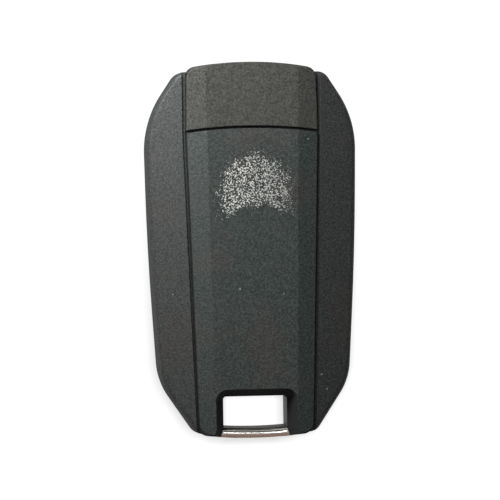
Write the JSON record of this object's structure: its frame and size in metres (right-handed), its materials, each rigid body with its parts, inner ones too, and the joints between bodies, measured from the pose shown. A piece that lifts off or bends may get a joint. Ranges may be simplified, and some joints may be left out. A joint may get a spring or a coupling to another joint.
{
  "type": "flip key remote",
  "caption": "Car key remote whose steel blade folds into the side of a matte black case, with lock, boot and unlock buttons, a release button and a key ring bar.",
  "frame": {"origin": "centre of the case's outline, in the plane that its front rails rest on", "axes": "+Z out of the rear face, +Y towards the head where the blade turns, +X towards the folded blade"},
  "size_m": [0.0424, 0.0758, 0.0155],
  "materials": {
    "case_plastic": "fine moulded grain",
    "cover_plastic": "fine moulded grain",
    "panel_gloss": "gloss",
    "button_plastic": "satin gloss",
    "bright_chrome": "polished",
    "hub_plastic": "satin",
    "blade_steel": "brushed",
    "pin_steel": "turned",
    "spring_steel": "drawn wire",
    "silicone": "matt",
    "board_laminate": "solder resist",
    "chip_resin": "matt",
    "crystal_can": "satin",
    "coil_ferrite": "matt",
    "switch_metal": "satin",
    "stem_plastic": "satin",
    "cell_steel": "satin",
    "contact_brass": "plated",
    "screw_steel": "zinc plated"
  },
  "bodies": {
    "case": {"rear_shell": "case_plastic", "front_shell": "case_plastic", "head_cover": "cover_plastic", "front_panel": "panel_gloss", "keyring_bar": "bright_chrome", "button_mat": "silicone", "circuit_board": "board_laminate", "microcontroller": "chip_resin", "crystal": "crystal_can", "transponder_coil": "coil_ferrite", "unlock_switch": "switch_metal", "boot_switch": "switch_metal", "lock_switch": "switch_metal", "coin_cell": "cell_steel", "battery_contact_plus": "contact_brass", "battery_contact_minus": "contact_brass", "case_screws": "screw_steel"},
    "battery_cover": {"battery_cover": "cover_plastic"},
    "flip_head": {"flip_hub": "hub_plastic", "key_blade": "blade_steel", "blade_pin": "pin_steel", "flip_spring": "spring_steel"},
    "release_button": {"release_button": "bright_chrome"},
    "unlock_button": {"unlock_button": "button_plastic", "unlock_switch_stem": "stem_plastic"},
    "boot_button": {"boot_button": "button_plastic", "boot_switch_stem": "stem_plastic"},
    "lock_button": {"lock_button": "button_plastic", "lock_switch_stem": "stem_plastic"}
  },
  "joints": [
    {"name": "blade_flip", "type": "hinge", "parent": "case", "child": "flip_head", "pos_m": [0.006, 0.0265, 0.0076], "axis": [0, 0, 1], "range_deg": [0, 180]},
    {"name": "release_press", "type": "slide", "parent": "flip_head", "child": "release_button", "axis": [0, 0, 1], "range_m": [0, 0.0013], "stiffness_N_per_m": 800, "springref_m": -0.001, "deforming": ["flip_spring"]},
    {"name": "battery_cover_lift", "type": "slide", "parent": "case", "child": "battery_cover", "axis": [0, 0, 1], "range_m": [0, 0.006]},
    {"name": "unlock_press", "type": "slide", "parent": "case", "child": "unlock_button", "axis": [0, 0, 1], "range_m": [0, 0.0004], "stiffness_N_per_m": 1500, "springref_m": -0.0003, "deforming": ["button_mat"]},
    {"name": "boot_press", "type": "slide", "parent": "case", "child": "boot_button", "axis": [0, 0, 1], "range_m": [0, 0.0004], "stiffness_N_per_m": 1500, "springref_m": -0.0003, "deforming": ["button_mat"]},
    {"name": "lock_press", "type": "slide", "parent": "case", "child": "lock_button", "axis": [0, 0, 1], "range_m": [0, 0.0004], "stiffness_N_per_m": 1500, "springref_m": -0.0003, "deforming": ["button_mat"]}
  ]
}
